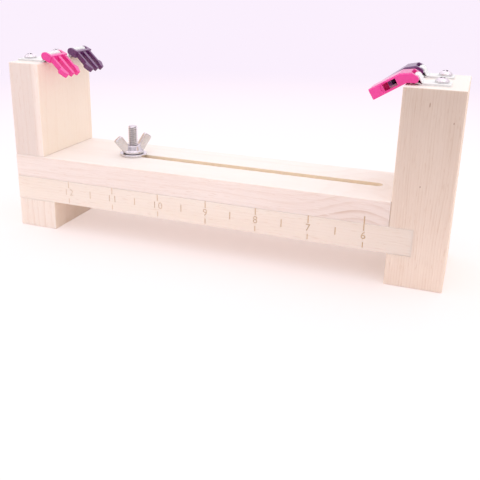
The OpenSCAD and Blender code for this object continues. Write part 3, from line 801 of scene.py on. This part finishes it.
class JIG_OT_tapes(bpy.types.Operator):
    """Fold the four woven tapes round the bars of the buckle halves"""
    bl_idname = "jig.tapes"
    bl_label = "Tapes"

    def execute(self, context):
        cloth = woven()
        for kind, post, screws, body in (("sleeve", "fixed_post", "fixed_top_screws", "frame"),
                                         ("prong", "moving_post", "moving_top_screws", "slide")):
            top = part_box(post)[1].z
            low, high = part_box(screws)
            screw_x = (low.x + high.x) / 2
            for side in ("front", "back"):
                node = f"{side}_{kind}_tab"
                bar = joint_places[f"{side}_{kind}_swing"]
                made, flat = self.tape(node, screw_x, top, bar, cloth, context.scene.jig_tape)
                stand_for(made, node, body)
        return {"FINISHED"}

    def middle_line(self, node, screw_x, top, bar, look):
        """The tape's middle line in its upright plane, from the lower end round the bar to the upper end."""
        low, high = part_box(node)
        towards = math.copysign(1.0, bar.x - screw_x)
        loop = Vector((abs(bar.x - screw_x), bar.z - top))
        radius = high.z - bar.z - look.layer / 2
        pad = abs((low.x if towards > 0 else high.x) - screw_x)
        under, above = look.layer / 2, 1.5 * look.layer
        meet = Vector((loop.x - radius - 2.4 * look.layer, look.layer))
        starts, ends = [], []
        for height, turn in ((under, -1), (above, 1)):
            start = Vector((meet.x, height))
            run = loop - start
            angle = math.atan2(run.y, run.x) + turn * math.asin(radius / run.length)
            reach = math.sqrt(run.length ** 2 - radius ** 2)
            starts.append(start)
            ends.append(start + reach * Vector((math.cos(angle), math.sin(angle))))
        first, last = (math.atan2(e.y - loop.y, e.x - loop.x) for e in ends)
        arc = [loop + radius * Vector((math.cos(a), math.sin(a))) for a in np.linspace(first, last, 40)]
        corners = [Vector((-pad, under)), starts[0], *arc, starts[1], Vector((-pad, above))]
        line = even_steps(np.array(corners), look.rib / 4)
        for _ in range(10):
            line[1:-1] = (line[:-2] + 2 * line[1:-1] + line[2:]) / 4
        return np.stack([screw_x + towards * line[:, 0], top + line[:, 1]], 1)

    def tape(self, node, screw_x, top, bar, cloth, look):
        """One woven tape and its flat size."""
        line = self.middle_line(node, screw_x, top, bar, look)
        low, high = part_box(node)
        width = high.y - low.y
        steps = np.linalg.norm(np.diff(line, axis=0), axis=1)
        along = np.concatenate([[0], np.cumsum(steps)])
        heading = np.gradient(line, axis=0)
        heading /= np.linalg.norm(heading, axis=1)[:, None]
        side = np.stack([-heading[:, 1], heading[:, 0]], 1)
        across = np.linspace(-width / 2, width / 2, round(width / (look.rib / 4)) + 1)
        half = (look.layer - look.air) / 2 - look.rib_h
        wave = 2 * math.pi / look.rib
        rows, marks = [], []
        for s, place, out in zip(along, line, side):
            ring, ring_marks = [], []
            for face in (1, -1):
                for u in across if face > 0 else across[::-1]:
                    hem = 1 + 0.12 * max(0.0, 1 - (width / 2 - abs(u)) / (0.8 * MM))
                    rib = look.rib_h * math.cos(wave * u) * math.cos(wave * s) * face
                    lift = face * min(half * hem, half + look.rib_h) + rib
                    ring.append((place[0] + out[0] * lift, (low.y + high.y) / 2 + u, place[1] + out[1] * lift))
                    ring_marks.append((u, s, 0.0))
            rows.append(ring)
            marks += ring_marks
        mesh = grid_mesh(node + "_woven", rows, True)
        mesh.attributes.new("tape_place", "FLOAT_VECTOR", "POINT").data.foreach_set("vector", np.ravel(marks))
        made = show(node + "_woven", mesh, cloth, math.radians(50))
        return made, (round(width, 5), round(float(along[-1]), 5))


class JIG_OT_stage(bpy.types.Operator):
    """Set the floor, the light and the camera"""
    bl_idname = "jig.stage"
    bl_label = "Stage"

    def execute(self, context):
        look = context.scene.jig_stage
        self.floor(look)
        self.air(context.scene, look)
        self.sun(look)
        self.camera(context.scene, look)
        return {"FINISHED"}

    def floor(self, look):
        """A wide pale floor that keeps the jig's shadow."""
        mesh = bpy.data.meshes.new("floor")
        corners = [(sx * FLOOR_REACH, sy * FLOOR_REACH) for sx, sy in ((-1, -1), (1, -1), (1, 1), (-1, 1))]
        mesh.from_pydata([(x, y, -0.05 * MM) for x, y in corners], [], [(0, 1, 2, 3)])
        made = bpy.data.materials.new("pale floor")
        made.use_nodes = True
        tree = made.node_tree
        tree.nodes.clear()
        place, _ = place_in_mm(tree)
        from_middle = add(tree, "ShaderNodeVectorMath", {0: place, 1: FLOOR_MIDDLE}, operation="DISTANCE")
        away = spread(tree, from_middle.outputs["Value"], 0, FLOOR_FADE, 0, 1, smooth=True)
        seen = seen_directly(tree)
        matt = add(tree, "ShaderNodeBsdfDiffuse", {"Color": blend_of(tree, seen, look.bounce, look.floor)}).outputs[0]
        glow = add(tree, "ShaderNodeEmission", {"Color": blend_of(tree, away, look.glow, look.far),
                                                "Strength": spread(tree, away, 0, 1, 1.29, 1.0)}).outputs[0]
        part = sum_of(tree, "MULTIPLY", seen, spread(tree, away, 0, 1, 0.3, 1.0))
        both = add(tree, "ShaderNodeMixShader", {0: part, 1: matt, 2: glow}).outputs[0]
        add(tree, "ShaderNodeOutputMaterial", {"Surface": both})
        show("floor", mesh, made)

    def air(self, scene, look):
        """Soft light from all round, stronger from above, and a pale background, which metal shows with the dimmer
        side of the room in front of the jig."""
        world = bpy.data.worlds.new("studio")
        world.use_nodes = True
        tree = world.node_tree
        tree.nodes.clear()
        ray = add(tree, "ShaderNodeTexCoord").outputs["Generated"]
        _, back, up = add(tree, "ShaderNodeSeparateXYZ", {0: ray}).outputs
        level = spread(tree, up, -0.1, 0.9, 0.84 * look.sky, 1.2 * look.sky)
        light = add(tree, "ShaderNodeBackground", {"Color": (0.99, 0.975, 1.0, 1), "Strength": level}).outputs[0]
        dim = sum_of(tree, "MULTIPLY", spread(tree, back, -0.15, -0.5, 0, 0.4, smooth=True),
                     spread(tree, up, 0.12, 0.4, 1, 0, smooth=True))
        patches = spread(tree, cloud(tree, ray, 2.6, 1.0), 0.36, 0.64, 0.75, 1.25, smooth=True)
        shine = sum_of(tree, "MULTIPLY", patches, sum_of(tree, "SUBTRACT", 1.0, dim))
        shine = sum_of(tree, "MULTIPLY", shine, spread(tree, up, 0.2, 0.6, 1, 1.6))
        mirrored = add(tree, "ShaderNodeLightPath").outputs["Is Glossy Ray"]
        more = sum_of(tree, "MULTIPLY", mirrored, sum_of(tree, "SUBTRACT", shine, 1.0))
        strength = sum_of(tree, "ADD", more, 1.0)
        pale = add(tree, "ShaderNodeBackground", {"Color": (*look.far, 1), "Strength": strength}).outputs[0]
        both = add(tree, "ShaderNodeMixShader", {0: seen_directly(tree), 1: light, 2: pale}).outputs[0]
        add(tree, "ShaderNodeOutputWorld", {"Surface": both})
        scene.world = world
        scene.view_settings.view_transform = "Standard"

    def sun(self, look):
        """A soft light from above, a little from the right and the front."""
        lamp = bpy.data.lights.new("soft_sun", "SUN")
        lamp.energy = look.sun
        lamp.angle = math.radians(SUN_ANGLE)
        lamp.color = (1.0, 0.985, 0.97)
        made = bpy.data.objects.new("soft_sun", lamp)
        made.rotation_mode = "QUATERNION"
        made.rotation_quaternion = Vector(SUN_WAY).to_track_quat("-Z", "Y")
        bpy.context.scene.collection.objects.link(made)

    def camera(self, scene, look):
        """The photograph's point of view, fitted to the marks of the rule."""
        yaw, pitch, roll = (math.radians(d) for d in CAMERA_TURN)
        ahead = Vector((math.sin(yaw) * math.cos(pitch), math.cos(yaw) * math.cos(pitch), math.sin(pitch)))
        level = Vector((math.cos(yaw), -math.sin(yaw), 0))
        above = level.cross(ahead)
        right = math.cos(roll) * level + math.sin(roll) * above
        up = -math.sin(roll) * level + math.cos(roll) * above
        data = bpy.data.cameras.new("camera")
        data.sensor_fit = "HORIZONTAL"
        data.sensor_width = 36
        data.lens = look.lens
        data.shift_y = CAMERA_SHIFT
        data.clip_start, data.clip_end = 0.01, 100
        made = bpy.data.objects.new("camera", data)
        turn = Matrix((right, up, -ahead)).transposed().to_4x4()
        made.matrix_world = Matrix.Translation(CAMERA_PLACE) @ turn
        scene.collection.objects.link(made)
        scene.camera = made


class JIG_PT_panel(bpy.types.Panel):
    """The jig's pieces and their settings"""
    bl_idname = "JIG_PT_panel"
    bl_label = "Bracelet Jig"
    bl_space_type = "VIEW_3D"
    bl_region_type = "UI"
    bl_category = "Bracelet Jig"

    def draw(self, context):
        for operator in STEPS:
            self.layout.operator(operator.bl_idname)
        for name, group in SETTINGS.items():
            column = self.layout.column(heading=group.__doc__)
            for key in group.__annotations__:
                column.prop(getattr(context.scene, name), key)


SETTINGS = {"jig_wood": JigWood, "jig_metal": JigMetal, "jig_plastic": JigPlastic, "jig_tape": JigTape,
            "jig_stage": JigStage}
STEPS = [JIG_OT_stage, JIG_OT_wood, JIG_OT_rule, JIG_OT_clamp, JIG_OT_screws, JIG_OT_buckles, JIG_OT_tapes]


def register():
    """Makes the settings, the operators and the panel known to Blender."""
    for name, group in SETTINGS.items():
        bpy.utils.register_class(group)
        setattr(bpy.types.Scene, name, PointerProperty(type=group))
    for operator in STEPS:
        bpy.utils.register_class(operator)
    bpy.utils.register_class(JIG_PT_panel)


def unregister():
    """Takes the panel, the operators and the settings out again."""
    bpy.utils.unregister_class(JIG_PT_panel)
    for operator in reversed(STEPS):
        bpy.utils.unregister_class(operator)
    for name, group in SETTINGS.items():
        delattr(bpy.types.Scene, name)
        bpy.utils.unregister_class(group)


def main():
    """Dresses the jig, sets its stage and writes down the sizes of the solids and of the dressed jig."""
    register()
    bpy.ops.jig.stage()
    bpy.ops.jig.wood()
    bpy.ops.jig.rule()
    bpy.ops.jig.clamp()
    bpy.ops.jig.screws()
    bpy.ops.jig.buckles()
    bpy.ops.jig.tapes()
    bpy.context.view_layer.update()


if __name__ == "__main__":
    main()
